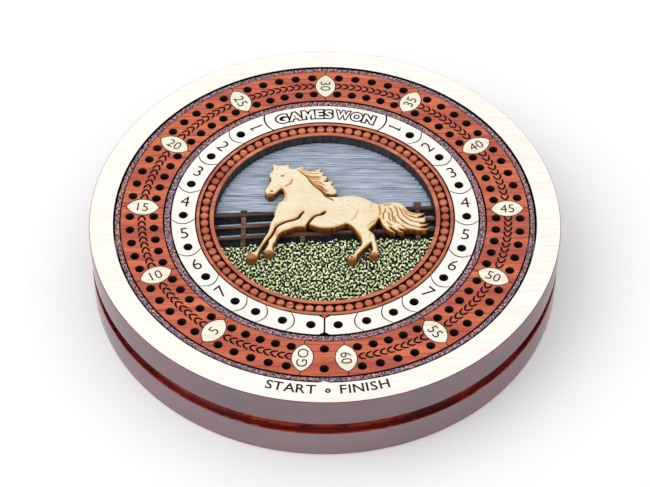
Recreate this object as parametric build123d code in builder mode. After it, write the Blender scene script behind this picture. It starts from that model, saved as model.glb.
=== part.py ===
from build123d import *
from math import atan2, cos, degrees, radians, sin
import os

# Round cribbage board: an inlaid lid that swivels over a base storing two card decks and six pegs.

# Overall, millimetres. Z = 0 is the underside of the base, +Z up, and the START side faces -Y.
board_diameter = 254.0
base_height = 18.1  # full-width wall of the base
land_height = 7.3  # narrower step on the base, which makes the shadow groove
land_inset = 3.6  # how far the step stands back from the wall
swing_gap = 0.4  # between the step and the lid that swings over it
core_thickness = 8.7  # plain disc under the inlays
inlay_thickness = 9.5  # 3/8 in stock: track, games ring, rim
arris_radius = 0.6

# Rings of the lid, from the edge inwards
band_thickness = 0.5
rim_width = 12.3
rim_line = 1.2
outer_channel_width = 2.2
outer_line = 0.8
track_width = 22.6
inner_line = 0.9
inner_channel_width = 2.9
games_line = 0.9
games_width = 12.5
bead_line = 0.8
bead_ring_width = 9.4
channel_recess = 0.5  # the stippled channels lie a little below the rings

# Track
group_count = 12
finish_gap_angle = 13.08  # between the GO and 60 markers
hole_pitch_angle = 5.18
hole_lane_offset = 6.45  # each row of holes from the middle of the track
peg_hole_diameter = 4.1
hole_countersink = 0.3
marker_length = 17.2
marker_width = 10.8
marker_line = 0.5  # dark line round each marker

# Games ring: holes counted up both sides from the bottom
start_hole_angles = (5.3, 16.6, 28.0)
first_game_angle = 37.7
game_pitch_angle = 17.4
games_to_win = 7
plaque_half_angle = 24.0
plaque_bulge_angle = 1.4
seam_notch_width = 6.0  # triangles at the bottom, where the two games arcs meet
seam_notch_depth = 1.9
rim_tooth_gap = 0.2  # between the channel and the tooth of the rim that points at them

# Bead ring
bead_count = 78
bead_diameter = 4.0
bead_height = 1.7
bead_round = 0.5
bead_channel_width = 4.8
bead_channel_depth = 1.8
bead_channel_offset = 0.3  # middle of the channel, outwards from the middle of its ring

# Sunk picture
well_depth = 5.9  # from the top face to the face of the sky
picture_panel_thickness = 1.0
picture_fit = 0.2  # between the picture and the wall of its well
horse_thickness = 5.2
horse_slit = 0.8
drawn_well_radius = 60.0  # the picture's points are drawn for this well
fence_post_width = 2.5
fence_line = 0.3  # dark line between the fence and the sky

# Storage in the base
base_floor = 5.0
card_width = 63.5
card_length = 88.9
card_clearance = 1.75
bay_rib = 10.0
bay_centre_y = -16.0
bay_corner_radius = 4.0
scoop_diameter = 28.0
tray_wall = 6.0
tray_depth = 10.0
peg_pitch = 6.5
peg_rows = 3
peg_end_gap = 2.0
peg_groove_depth = 1.2

# Pegs
peg_shank_diameter = 3.7
peg_shank_length = 10.0
peg_body_diameter = 5.0
peg_length = 36.0
peg_waist_diameter = 4.0

# Swivel and magnets
bolt_shoulder_diameter = 6.35
bolt_thread_diameter = 4.8
bolt_head_diameter = 12.0
bolt_head_height = 2.6
bolt_head_recess = 0.6  # the head stays above the table
bushing_wall = 1.6
running_clearance = 0.05
head_clearance = 0.4
insert_diameter = 8.0
insert_length = 6.5
thread_end_gap = 0.5
washer_diameter = 16.0
washer_gap = 0.05
magnet_diameter = 10.0
magnet_thickness = 3.0
magnet_recess = 0.1
magnet_angles = (250.0, 290.0)
magnet_wall = 6.0  # between a magnet and the edge of the step

# Worked out from the sizes above
board_radius = board_diameter / 2
land_top = base_height + land_height
lid_bottom = land_top + swing_gap
core_top = lid_bottom + core_thickness
lid_top = core_top + inlay_thickness
land_radius = board_radius - land_inset

core_radius = board_radius - band_thickness
rim_inner = core_radius - rim_width
outer_channel_outer = rim_inner - rim_line
outer_channel_inner = outer_channel_outer - outer_channel_width
track_outer = outer_channel_inner - outer_line
track_inner = track_outer - track_width
inner_channel_outer = track_inner - inner_line
inner_channel_inner = inner_channel_outer - inner_channel_width
games_outer = inner_channel_inner - games_line
games_inner = games_outer - games_width
bead_ring_outer = games_inner - bead_line
well_radius = bead_ring_outer - bead_ring_width

track_middle = (track_outer + track_inner) / 2
games_middle = (games_outer + games_inner) / 2
bead_channel_middle = (bead_ring_outer + well_radius) / 2 + bead_channel_offset
group_angle = (360 - finish_gap_angle) / group_count
first_hole_angle = (group_angle - 4 * hole_pitch_angle) / 2
go_angle = 270 - finish_gap_angle / 2
picture_top = lid_top - well_depth
picture_back = picture_top - picture_panel_thickness
picture_scale = well_radius / drawn_well_radius
pivot_y = track_middle

os.makedirs("parts", exist_ok=True)


def save(piece, name):
    """Label a finished piece and write it as its own file."""
    piece.part.label = name
    export_step(piece.part, "parts/" + name + ".step")


def around(radius, angle):
    """Point on a circle about the board's axis, the angle counted from +X."""
    return (radius * cos(radians(angle)), radius * sin(radians(angle)))


def ring(outer, inner, bottom, top):
    """Flat ring about the board's axis."""
    with BuildPart() as piece:
        with BuildSketch(Plane.XY.offset(bottom)):
            Circle(outer)
            Circle(inner, mode=Mode.SUBTRACT)
        extrude(amount=top - bottom)
    return piece


def sector(outer, inner, start, sweep):
    """Outline of a piece of a ring, between two angles."""
    with BuildSketch() as outline:
        with BuildLine():
            CenterArc((0, 0), outer, start, sweep)
            CenterArc((0, 0), inner, start, sweep)
            Line(around(outer, start), around(inner, start))
            Line(around(outer, start + sweep), around(inner, start + sweep))
        make_face()
    return outline.sketch


def eye(angle, margin):
    """Pointed marker shape on the middle of the track, grown by a margin."""
    half_length = marker_length / 2 + margin
    half_width = marker_width / 2 + margin
    tip_in = around(track_middle - half_length, angle)
    tip_out = around(track_middle + half_length, angle)
    middle_x, middle_y = around(track_middle, angle)
    side_x, side_y = around(half_width, angle + 90)
    with BuildSketch() as outline:
        with BuildLine():
            ThreePointArc(tip_in, (middle_x + side_x, middle_y + side_y), tip_out)
            ThreePointArc(tip_out, (middle_x - side_x, middle_y - side_y), tip_in)
        make_face()
    return outline.sketch


def drill_peg_holes(points):
    """Peg holes through the inlay, with a small countersink at the mouth."""
    mouth = peg_hole_diameter + 2 * hole_countersink
    with Locations(*[(x, y, lid_top) for x, y in points]):
        Cylinder(peg_hole_diameter / 2, inlay_thickness, align=(Align.CENTER, Align.CENTER, Align.MAX),
                 mode=Mode.SUBTRACT)
        Cone(peg_hole_diameter / 2, mouth / 2, hole_countersink,
             align=(Align.CENTER, Align.CENTER, Align.MAX), mode=Mode.SUBTRACT)


# Base: a disc with a narrower step on top, routed for two card decks and a row of pegs
bay_width = card_width + 2 * card_clearance
bay_length = card_length + 2 * card_clearance
bay_centre_x = (bay_rib + bay_width) / 2
bay_depth = land_top - base_floor
tray_width = (peg_rows - 1) * peg_pitch + peg_body_diameter + peg_end_gap
tray_length = 2 * peg_length + 3 * peg_end_gap
tray_centre_y = bay_centre_y + bay_length / 2 + tray_wall + tray_width / 2
tray_floor = land_top - tray_depth
peg_axis_z = tray_floor - peg_groove_depth + peg_body_diameter / 2
peg_centre_x = (peg_length + peg_end_gap) / 2
magnet_circle = land_radius - magnet_wall - magnet_diameter / 2
magnet_places = [around(magnet_circle, angle) for angle in magnet_angles]
bushing_radius = bolt_shoulder_diameter / 2 + running_clearance + bushing_wall
head_pocket_depth = bolt_head_recess + bolt_head_height + head_clearance
head_pocket_radius = bolt_head_diameter / 2 + head_clearance
peg_places = [
    (side * peg_centre_x, tray_centre_y + (row - (peg_rows - 1) / 2) * peg_pitch)
    for side in (-1, 1)
    for row in range(peg_rows)
]

with BuildPart() as base_body:
    with BuildSketch():
        Circle(board_radius)
    extrude(amount=base_height)
    fillet(base_body.edges().filter_by(GeomType.CIRCLE), arris_radius)
    with BuildSketch(Plane.XY.offset(base_height)):
        Circle(land_radius)
    extrude(amount=land_height)
    with BuildSketch(Plane.XY.offset(land_top)):
        with Locations((-bay_centre_x, bay_centre_y), (bay_centre_x, bay_centre_y)):
            RectangleRounded(bay_width, bay_length, bay_corner_radius)
        with Locations((0, bay_centre_y)):
            Circle(scoop_diameter / 2)
    extrude(amount=-bay_depth, mode=Mode.SUBTRACT)
    with BuildSketch(Plane.XY.offset(land_top)):
        with Locations((0, tray_centre_y)):
            Rectangle(tray_length, tray_width)
    extrude(amount=-tray_depth, mode=Mode.SUBTRACT)
    with Locations(*[(x, y, peg_axis_z) for x, y in peg_places]):
        Cylinder(peg_body_diameter / 2 + running_clearance, peg_length, rotation=(0, 90, 0),
                 mode=Mode.SUBTRACT)
    with Locations((0, pivot_y, 0)):
        Cylinder(bushing_radius, land_top, align=(Align.CENTER, Align.CENTER, Align.MIN),
                 mode=Mode.SUBTRACT)
        Cylinder(head_pocket_radius, head_pocket_depth, align=(Align.CENTER, Align.CENTER, Align.MIN),
                 mode=Mode.SUBTRACT)
    with Locations(*[(x, y, land_top) for x, y in magnet_places]):
        Cylinder(magnet_diameter / 2, magnet_thickness + magnet_recess,
                 align=(Align.CENTER, Align.CENTER, Align.MAX), mode=Mode.SUBTRACT)
save(base_body, "base_body")

# Swivel: a bush and a washer stay in the base, the shoulder bolt turns with the lid
with BuildPart() as pivot_bushing:
    with BuildSketch(Plane.XY.offset(head_pocket_depth)):
        with Locations((0, pivot_y)):
            Circle(bushing_radius)
            Circle(bolt_shoulder_diameter / 2 + running_clearance, mode=Mode.SUBTRACT)
    extrude(amount=land_top - head_pocket_depth)
save(pivot_bushing, "pivot_bushing")

with BuildPart() as pivot_washer:
    with BuildSketch(Plane.XY.offset(land_top)):
        with Locations((0, pivot_y)):
            Circle(washer_diameter / 2)
            Circle(bolt_shoulder_diameter / 2 + running_clearance, mode=Mode.SUBTRACT)
    extrude(amount=swing_gap - washer_gap)
save(pivot_washer, "pivot_washer")

socket_radius = bolt_thread_diameter / 3
thread_length = insert_length - thread_end_gap
with BuildPart() as pivot_bolt:
    with Locations((0, pivot_y, bolt_head_recess)):
        Cylinder(bolt_head_diameter / 2, bolt_head_height, align=(Align.CENTER, Align.CENTER, Align.MIN))
    chamfer(pivot_bolt.edges().filter_by(GeomType.CIRCLE).sort_by(Axis.Z)[0], bolt_head_height / 6)
    with BuildSketch(Plane.XY.offset(bolt_head_recess)):
        with Locations((0, pivot_y)):
            RegularPolygon(socket_radius, 6)
    extrude(amount=bolt_head_height / 2, mode=Mode.SUBTRACT)
    with BuildSketch(Plane.XY.offset(bolt_head_recess + bolt_head_height)):
        with Locations((0, pivot_y)):
            Circle(bolt_shoulder_diameter / 2)
    extrude(amount=lid_bottom - bolt_head_recess - bolt_head_height)
    with BuildSketch(Plane.XY.offset(lid_bottom)):
        with Locations((0, pivot_y)):
            Circle(bolt_thread_diameter / 2)
    extrude(amount=thread_length)
save(pivot_bolt, "pivot_bolt")

with BuildPart() as pivot_insert:
    with Locations((0, pivot_y, lid_bottom)):
        Cylinder(insert_diameter / 2, insert_length, align=(Align.CENTER, Align.CENTER, Align.MIN))
        Cylinder(bolt_thread_diameter / 2, insert_length, align=(Align.CENTER, Align.CENTER, Align.MIN),
                 mode=Mode.SUBTRACT)
save(pivot_insert, "pivot_insert")


def magnet_pair(bottom, name):
    """Two disc magnets on the magnet circle."""
    with BuildPart() as pair:
        with Locations(*[(x, y, bottom) for x, y in magnet_places]):
            Cylinder(magnet_diameter / 2, magnet_thickness, align=(Align.CENTER, Align.CENTER, Align.MIN))
    save(pair, name)


magnet_pair(land_top - magnet_recess - magnet_thickness, "base_magnets")
magnet_pair(lid_bottom + magnet_recess, "lid_magnets")

# Pegs lying in the tray, three brass on the left and three steel on the right
shank_radius = peg_shank_diameter / 2
body_radius = peg_body_diameter / 2
waist_radius = peg_waist_diameter / 2
for index, (peg_x, peg_y) in enumerate(peg_places):
    metal = "brass" if peg_x < 0 else "steel"
    number = index % peg_rows + 1
    tail = peg_x - peg_length / 2
    shoulder = tail + peg_shank_length
    crown = peg_x + peg_length / 2
    with BuildPart() as peg:
        with BuildSketch(Plane.XZ.offset(-peg_y)):
            with BuildLine():
                Polyline(
                    (tail, peg_axis_z),
                    (tail, peg_axis_z + shank_radius),
                    (shoulder, peg_axis_z + shank_radius),
                    (shoulder, peg_axis_z + body_radius),
                    (shoulder + peg_body_diameter, peg_axis_z + body_radius),
                    (crown - 2 * peg_body_diameter, peg_axis_z + waist_radius),
                    (crown - peg_body_diameter, peg_axis_z + body_radius),
                    (crown - body_radius, peg_axis_z + body_radius),
                )
                RadiusArc((crown - body_radius, peg_axis_z + body_radius), (crown, peg_axis_z), body_radius)
                Line((crown, peg_axis_z), (tail, peg_axis_z))
            make_face()
        revolve(axis=Axis((0, peg_y, peg_axis_z), (1, 0, 0)))
    save(peg, metal + "_peg_" + str(number))

# Lid: a plain core, banded round the edge
with BuildPart() as lid_core:
    with BuildSketch(Plane.XY.offset(lid_bottom)):
        Circle(core_radius)
    extrude(amount=core_thickness)
    with Locations((0, pivot_y, lid_bottom)):
        Cylinder(insert_diameter / 2, insert_length, align=(Align.CENTER, Align.CENTER, Align.MIN),
                 mode=Mode.SUBTRACT)
    with Locations(*[(x, y, lid_bottom) for x, y in magnet_places]):
        Cylinder(magnet_diameter / 2, magnet_thickness + magnet_recess,
                 align=(Align.CENTER, Align.CENTER, Align.MIN), mode=Mode.SUBTRACT)
save(lid_core, "lid_core")

with BuildPart() as lid_edge_band:
    with BuildSketch(Plane.XY.offset(lid_bottom)):
        Circle(board_radius)
        Circle(core_radius, mode=Mode.SUBTRACT)
    extrude(amount=lid_top - lid_bottom)
    outer_edges = lid_edge_band.edges().filter_by(GeomType.CIRCLE).sort_by(SortBy.RADIUS)[-2:]
    fillet(outer_edges, min(arris_radius, 0.8 * band_thickness))
save(lid_edge_band, "lid_edge_band")


def tooth(base_radius, depth, width, point):
    """Triangle at the bottom of the board, from a circle outwards (point 1) or inwards (point -1)."""
    root = base_radius - point * width / 4
    with BuildSketch() as outline:
        with BuildLine():
            Polyline((-width / 2, -base_radius), (-width / 4, -root), (width / 4, -root),
                     (width / 2, -base_radius), (0, -base_radius - point * depth), close=True)
        make_face()
    return outline.sketch


# Plain rings
with BuildPart() as maple_rim:
    with BuildSketch(Plane.XY.offset(core_top)):
        Circle(core_radius)
        Circle(rim_inner, mode=Mode.SUBTRACT)
        add(tooth(rim_inner, rim_line - rim_tooth_gap, seam_notch_width, -1))
    extrude(amount=inlay_thickness)
save(maple_rim, "maple_rim")
save(ring(outer_channel_outer, outer_channel_inner, core_top, lid_top - channel_recess), "outer_channel")
save(ring(inner_channel_outer, inner_channel_inner, core_top, lid_top - channel_recess), "inner_channel")

# Track: marker eyes with a bloodwood segment between each two
marker_angles = [go_angle - group_angle * index for index in range(group_count + 1)]
marker_names = ["go"] + [str(5 * (index + 1)).zfill(2) for index in range(group_count)]

for angle, name in zip(marker_angles, marker_names):
    with BuildPart() as marker:
        with BuildSketch(Plane.XY.offset(core_top)):
            add(eye(angle, 0))
        extrude(amount=inlay_thickness)
    save(marker, "marker_" + name)

lanes = (track_middle - hole_lane_offset, track_middle + hole_lane_offset)


def track_segment(start, sweep, hole_angles, name):
    """One stretch of track from marker to marker, counted clockwise from its first marker."""
    with BuildPart() as segment:
        with BuildSketch(Plane.XY.offset(core_top)):
            add(sector(track_outer, track_inner, start - sweep, sweep))
            for end in (start, start - sweep):
                add(eye(end, marker_line), mode=Mode.SUBTRACT)
                with Locations(Location((*around(track_middle, end), 0), (0, 0, end))):
                    Rectangle(track_width + 2 * marker_line, marker_line, mode=Mode.SUBTRACT)
        extrude(amount=inlay_thickness)
        drill_peg_holes([around(lane, angle) for lane in lanes for angle in hole_angles])
    save(segment, name)


for index in range(group_count):
    start = marker_angles[index]
    hole_angles = [start - first_hole_angle - hole_pitch_angle * step for step in range(5)]
    track_segment(start, group_angle, hole_angles, "track_segment_" + str(index + 1).zfill(2))
track_segment(marker_angles[-1] + 360, finish_gap_angle, [270], "finish_segment")

# Games ring: two arcs that meet at the bottom, and a plaque at the top
game_hole_angles = list(start_hole_angles)
game_hole_angles += [first_game_angle + game_pitch_angle * step for step in range(games_to_win)]
plaque_line = degrees(games_line / games_middle)


def plaque_outline(half_angle):
    """Piece of the games ring at the top, with bulging ends."""
    with BuildSketch() as outline:
        with BuildLine():
            CenterArc((0, 0), games_outer, 90 - half_angle, 2 * half_angle)
            CenterArc((0, 0), games_inner, 90 - half_angle, 2 * half_angle)
            for side in (-1, 1):
                ThreePointArc(
                    around(games_outer, 90 + side * half_angle),
                    around(games_middle, 90 + side * (half_angle + plaque_bulge_angle)),
                    around(games_inner, 90 + side * half_angle),
                )
        make_face()
    return outline.sketch


with BuildPart() as games_plaque:
    with BuildSketch(Plane.XY.offset(core_top)):
        add(plaque_outline(plaque_half_angle))
    extrude(amount=inlay_thickness)
save(games_plaque, "games_plaque")

for side, name in ((-1, "games_arc_left"), (1, "games_arc_right")):
    with BuildPart() as games_arc:
        with BuildSketch(Plane.XY.offset(core_top)):
            add(sector(games_outer, games_inner, 90 if side < 0 else -90, 180))
            add(plaque_outline(plaque_half_angle + plaque_line), mode=Mode.SUBTRACT)
            with Locations((0, -games_middle)):
                Rectangle(games_line, 2 * games_width, mode=Mode.SUBTRACT)
            add(tooth(games_inner, seam_notch_depth, seam_notch_width, 1), mode=Mode.SUBTRACT)
            add(tooth(games_outer, seam_notch_depth, seam_notch_width, -1), mode=Mode.SUBTRACT)
        extrude(amount=inlay_thickness)
        drill_peg_holes([around(games_middle, -90 + side * angle) for angle in game_hole_angles])
    save(games_arc, name)

# Bead ring and its half-round beads
with BuildPart() as bead_ring:
    with BuildSketch(Plane.XY.offset(core_top)):
        Circle(bead_ring_outer)
        Circle(well_radius, mode=Mode.SUBTRACT)
        add(tooth(bead_ring_outer, seam_notch_depth, seam_notch_width - 2 * bead_line, 1))
    extrude(amount=inlay_thickness)
    with BuildSketch(Plane.XY.offset(lid_top)):
        Circle(bead_channel_middle + bead_channel_width / 2)
        Circle(bead_channel_middle - bead_channel_width / 2, mode=Mode.SUBTRACT)
    extrude(amount=-bead_channel_depth, mode=Mode.SUBTRACT)
save(bead_ring, "bead_ring")

with BuildPart() as bead_strand:
    with BuildSketch(Plane.XY.offset(lid_top - bead_channel_depth)):
        with PolarLocations(bead_channel_middle, bead_count):
            Circle(bead_diameter / 2)
    extrude(amount=bead_height)
    fillet(bead_strand.edges().group_by(Axis.Z)[-1], bead_round)
save(bead_strand, "bead_strand")

# Picture: a black backer, then sky, fence and grass side by side, and the horse on top
picture_radius = well_radius - picture_fit
rail_ends = (  # left x, y, right x, y, width of each stretch of rail, between posts
    (-60.0, 5.2, -12.0, 7.8, 1.8),
    (-12.0, 7.8, 60.0, 11.4, 2.2),
    (-60.0, -3.7, -12.0, 0.6, 2.5),
    (-12.0, 0.6, 60.0, 3.6, 2.5),
    (-60.0, -11.8, -12.0, -8.0, 2.5),
    (-12.0, -8.0, 60.0, -3.8, 2.5),
)
post_places = ((-44.0, 8.6, -19.5), (-12.0, 11.6, -15.5), (50.3, 15.0, -11.5))  # x, top, foot
grass_edge = (
    (-57.0, -17.6), (-54.6, -18.2), (-53.8, -17.2), (-52.0, -18.6), (-50.6, -17.0), (-48.8, -18.4),
    (-47.4, -16.9), (-45.0, -18.8), (-42.6, -17.4), (-40.8, -16.6), (-40.2, -15.2), (-38.6, -16.6),
    (-37.2, -15.3), (-35.0, -16.9), (-31.0, -15.4), (-27.0, -14.6), (-24.6, -15.4), (-22.6, -14.2),
    (-20.4, -15.0), (-17.2, -13.8), (-15.0, -15.2), (-12.4, -14.4), (-9.2, -14.2), (-8.8, -12.9),
    (-7.6, -13.8), (-6.6, -12.8), (-5.0, -14.4), (-2.2, -13.4), (1.0, -14.2), (4.0, -12.6),
    (6.2, -11.6), (7.4, -13.4), (10.0, -12.0), (12.6, -13.2), (15.0, -11.8), (18.4, -13.0),
    (21.4, -13.8), (25.0, -12.6), (27.6, -11.8), (30.2, -10.6), (31.6, -11.8), (33.2, -10.3),
    (35.6, -12.0), (38.8, -10.8), (41.4, -12.2), (44.6, -10.9), (47.2, -11.8), (50.8, -12.6),
    (53.6, -10.8), (55.4, -11.6), (58.6, -9.4),
)


def scaled(points):
    """The picture's points at the size of the well."""
    return [(x * picture_scale, y * picture_scale) for x, y in points]


def strip(x0, y0, x1, y1, width):
    """Straight strip between two points of the picture."""
    (x0, y0), (x1, y1) = scaled([(x0, y0), (x1, y1)])
    angle = degrees(atan2(y1 - y0, x1 - x0))
    with BuildSketch() as outline:
        with Locations(Location(((x0 + x1) / 2, (y0 + y1) / 2, 0), (0, 0, angle))):
            Rectangle(((x1 - x0) ** 2 + (y1 - y0) ** 2) ** 0.5, width)
    return outline.sketch


def fence_outline(margin):
    """Rails and posts, grown by a margin on every side."""
    with BuildSketch() as outline:
        for x0, y0, x1, y1, width in rail_ends:
            add(strip(x0 - margin, y0, x1 + margin, y1, width * picture_scale + 2 * margin))
        for x, top, foot in post_places:
            add(strip(x, foot - margin, x, top + margin, fence_post_width * picture_scale + 2 * margin))
    return outline.sketch


with BuildPart() as well_backer:
    with BuildSketch(Plane.XY.offset(core_top)):
        Circle(picture_radius)
    extrude(amount=picture_back - core_top)
save(well_backer, "well_backer")

sky_left = rail_ends[0][:2]
sky_right = rail_ends[1][2:4]
with BuildPart() as sky_panel:
    with BuildSketch(Plane.XY.offset(picture_back)):
        Circle(picture_radius)
        with BuildLine():
            far = 2 * drawn_well_radius
            Polyline(*scaled([sky_left, sky_right, (far, sky_right[1]), (far, far), (-far, far),
                              (-far, sky_left[1]), sky_left]))
        make_face(mode=Mode.INTERSECT)
        add(fence_outline(fence_line), mode=Mode.SUBTRACT)
    extrude(amount=picture_panel_thickness)
save(sky_panel, "sky_panel")


def grass_outline(drop):
    """Everything below the ragged top of the grass, moved down by a drop."""
    far = 2 * drawn_well_radius
    with BuildSketch() as outline:
        with BuildLine():
            Polyline(*scaled([(x, y - drop) for x, y in [(-far, grass_edge[0][1]), *grass_edge,
                                                         (far, grass_edge[-1][1]), (far, -far),
                                                         (-far, -far), (-far, grass_edge[0][1])]]))
        make_face()
    return outline.sketch


with BuildPart() as grass_panel:
    with BuildSketch(Plane.XY.offset(picture_back)):
        Circle(picture_radius)
        add(grass_outline(0), mode=Mode.INTERSECT)
    extrude(amount=picture_panel_thickness)
save(grass_panel, "grass_panel")

with BuildPart() as fence:
    with BuildSketch(Plane.XY.offset(picture_back)):
        Circle(picture_radius)
        add(fence_outline(0), mode=Mode.INTERSECT)
        add(grass_outline(-fence_line), mode=Mode.SUBTRACT)
    extrude(amount=picture_panel_thickness)
save(fence, "fence")

# Horse: each row is one smooth stretch of its outline, and rows meet at corners
horse_stretches = (
    ((-28.3, 39.7), (-29.0, 37.6), (-28.6, 35.8), (-29.2, 33.6), (-30.3, 32.2), (-30.6, 30.3),
     (-29.9, 28.4), (-29.7, 26.6), (-30.4, 24.6), (-31.6, 22.0), (-32.9, 19.4)),
    ((-32.9, 19.4), (-32.6, 17.9), (-31.6, 16.1), (-30.1, 15.0), (-28.5, 15.4), (-27.3, 16.8),
     (-25.7, 18.8), (-24.4, 20.5), (-23.5, 21.2)),
    ((-23.5, 21.2), (-22.6, 19.6), (-22.1, 17.0), (-22.2, 14.3), (-23.0, 12.0), (-24.7, 10.5),
     (-25.9, 8.4), (-26.5, 5.5), (-27.3, 3.0), (-27.3, 0.4), (-28.2, -2.0), (-29.3, -4.9),
     (-29.8, -8.2), (-30.8, -11.7), (-32.4, -15.0), (-34.0, -19.0), (-35.6, -22.2), (-36.6, -24.2)),
    ((-36.6, -24.2), (-38.2, -25.4), (-40.6, -26.4), (-42.0, -28.2), (-41.6, -30.0)),
    ((-41.6, -30.0), (-38.9, -30.5), (-36.2, -29.4)),
    ((-36.2, -29.4), (-35.3, -25.6), (-34.2, -22.4), (-32.4, -18.8), (-30.9, -16.3), (-29.6, -14.9)),
    ((-29.6, -14.9), (-30.0, -17.0), (-30.2, -19.6), (-31.2, -22.2), (-32.2, -24.4)),
    ((-32.2, -24.4), (-32.0, -26.0), (-29.8, -26.8), (-27.8, -26.0), (-27.4, -24.3)),
    ((-27.4, -24.3), (-27.9, -22.2), (-27.5, -19.6), (-26.2, -16.8), (-25.6, -14.2), (-24.4, -11.9),
     (-22.4, -10.1), (-19.6, -8.9), (-16.6, -7.4), (-13.8, -6.8), (-10.6, -7.1)),
    ((-10.6, -7.1), (-9.0, -5.1)),
    ((-9.0, -5.1), (-7.4, -5.6), (-5.4, -6.5), (-1.8, -7.6), (2.2, -7.6), (6.2, -6.8), (9.2, -5.4),
     (11.2, -4.4)),
    ((11.2, -4.4), (13.2, -5.2), (15.3, -7.2), (17.0, -9.8), (18.5, -13.0), (19.6, -15.8),
     (19.8, -18.4), (19.2, -20.5), (17.4, -22.8), (15.9, -25.3), (15.0, -27.2), (13.6, -28.6),
     (12.0, -29.5)),
    ((12.0, -29.5), (12.0, -30.6)),
    ((12.0, -30.6), (14.5, -31.1), (16.9, -30.7)),
    ((16.9, -30.7), (17.1, -29.2), (17.0, -27.6), (18.2, -25.6), (20.4, -22.8), (22.8, -19.9),
     (24.4, -18.0), (25.4, -16.9)),
    ((25.4, -16.9), (25.1, -19.2), (25.5, -22.3), (25.0, -24.7), (23.9, -26.2)),
    ((23.9, -26.2), (23.7, -27.2)),
    ((23.7, -27.2), (26.2, -27.7), (28.6, -27.1)),
    ((28.6, -27.1), (28.7, -25.6), (28.3, -24.2), (28.1, -22.0), (27.6, -18.8), (27.0, -15.6),
     (26.6, -12.8), (25.4, -11.1), (23.5, -9.1)),
    ((23.5, -9.1), (24.4, -7.4), (26.6, -4.9), (28.2, -1.9), (29.4, 0.2)),
    ((29.4, 0.2), (30.0, -2.0), (30.9, -5.0), (32.6, -7.4), (35.0, -9.7), (38.5, -10.9)),
    ((38.5, -10.9), (36.2, -9.2), (34.6, -7.2), (33.2, -5.1)),
    ((33.2, -5.1), (35.4, -6.8), (37.8, -8.7), (42.7, -10.6)),
    ((42.7, -10.6), (40.6, -9.2), (38.1, -6.9)),
    ((38.1, -6.9), (40.4, -7.9), (42.8, -8.5), (46.4, -8.2), (49.2, -8.8), (52.6, -9.0), (56.4, -7.4)),
    ((56.4, -7.4), (53.4, -7.5), (49.0, -6.8)),
    ((49.0, -6.8), (52.6, -6.2), (56.2, -3.9)),
    ((56.2, -3.9), (53.4, -4.7), (50.4, -4.7)),
    ((50.4, -4.7), (52.6, -3.7), (54.2, -2.6), (54.2, -1.0), (55.2, 0.7)),
    ((55.2, 0.7), (52.0, 0.1), (48.2, 0.0)),
    ((48.2, 0.0), (51.4, 1.2), (53.9, 3.5)),
    ((53.9, 3.5), (51.0, 3.1), (48.4, 3.4), (45.9, 4.5), (44.2, 6.4), (42.8, 8.6), (41.0, 10.5),
     (38.4, 11.2), (35.0, 11.0), (31.6, 10.2), (28.8, 9.6)),
    ((28.8, 9.6), (26.4, 10.7), (23.4, 12.9), (19.6, 14.8), (16.2, 15.7), (12.7, 15.8), (9.4, 15.2),
     (6.4, 14.8), (3.4, 14.8), (0.6, 15.4), (-0.6, 16.5)),
    ((-0.6, 16.5), (1.6, 16.6), (4.6, 16.6), (6.2, 17.5), (6.5, 19.2), (5.7, 20.7)),
    ((5.7, 20.7), (4.4, 20.9)),
    ((4.4, 20.9), (5.2, 21.5), (5.4, 22.4)),
    ((5.4, 22.4), (4.2, 23.2), (3.2, 24.5)),
    ((3.2, 24.5), (4.2, 25.0), (4.5, 25.9)),
    ((4.5, 25.9), (3.0, 26.5), (1.2, 26.1), (-0.7, 26.5)),
    ((-0.7, 26.5), (0.4, 27.1), (1.8, 27.6)),
    ((1.8, 27.6), (0.4, 28.4)),
    ((0.4, 28.4), (1.2, 29.0), (1.8, 30.2)),
    ((1.8, 30.2), (0.2, 30.2), (-1.6, 30.7)),
    ((-1.6, 30.7), (-1.0, 31.4), (-0.5, 32.5)),
    ((-0.5, 32.5), (-1.8, 33.0), (-3.2, 33.5)),
    ((-3.2, 33.5), (-2.2, 34.8), (-2.3, 36.6)),
    ((-2.3, 36.6), (-3.8, 35.3), (-6.6, 34.4), (-9.4, 34.5), (-11.4, 35.3)),
    ((-11.4, 35.3), (-11.6, 36.4), (-11.1, 37.6)),
    ((-11.1, 37.6), (-12.8, 37.1), (-15.0, 36.0), (-17.2, 35.6), (-19.2, 35.9)),
    ((-19.2, 35.9), (-19.8, 37.4), (-20.0, 40.0)),
    ((-20.0, 40.0), (-21.2, 38.6), (-22.6, 38.1), (-24.6, 38.0), (-26.4, 38.1), (-27.3, 38.6),
     (-28.3, 39.7)),
)
leg_slit = ((-11.8, 3.2), (-13.2, 1.2), (-14.1, -0.6), (-16.0, -1.9), (-18.6, -2.9), (-20.8, -3.6),
            (-22.8, -4.7), (-25.0, -6.2), (-26.4, -8.0), (-27.3, -11.0), (-28.6, -13.8), (-30.3, -16.4))
girth_slit = ((0.0, 3.4), (-2.4, 1.6), (-4.8, 0.9), (-6.8, -1.0), (-8.2, -3.4), (-9.9, -6.5))

with BuildPart() as horse:
    with BuildSketch(Plane.XY.offset(picture_top)):
        with BuildLine():
            for stretch in horse_stretches:
                if len(stretch) == 2:
                    Line(*scaled(stretch))
                else:
                    Spline(*scaled(stretch))
        make_face()
    extrude(amount=horse_thickness)
    for slit in (leg_slit, girth_slit):
        with BuildSketch(Plane.XY.offset(picture_top)):
            with BuildLine():
                Spline(*scaled(slit))
            trace(line_width=horse_slit)
        extrude(amount=horse_thickness, mode=Mode.SUBTRACT)
save(horse, "horse")

print("board", board_diameter, "x", round(lid_top, 2), "mm, well radius", round(well_radius, 2))
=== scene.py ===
import math
import random

import bpy
import numpy as np
from mathutils import Euler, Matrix, Vector, kdtree, noise


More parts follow.
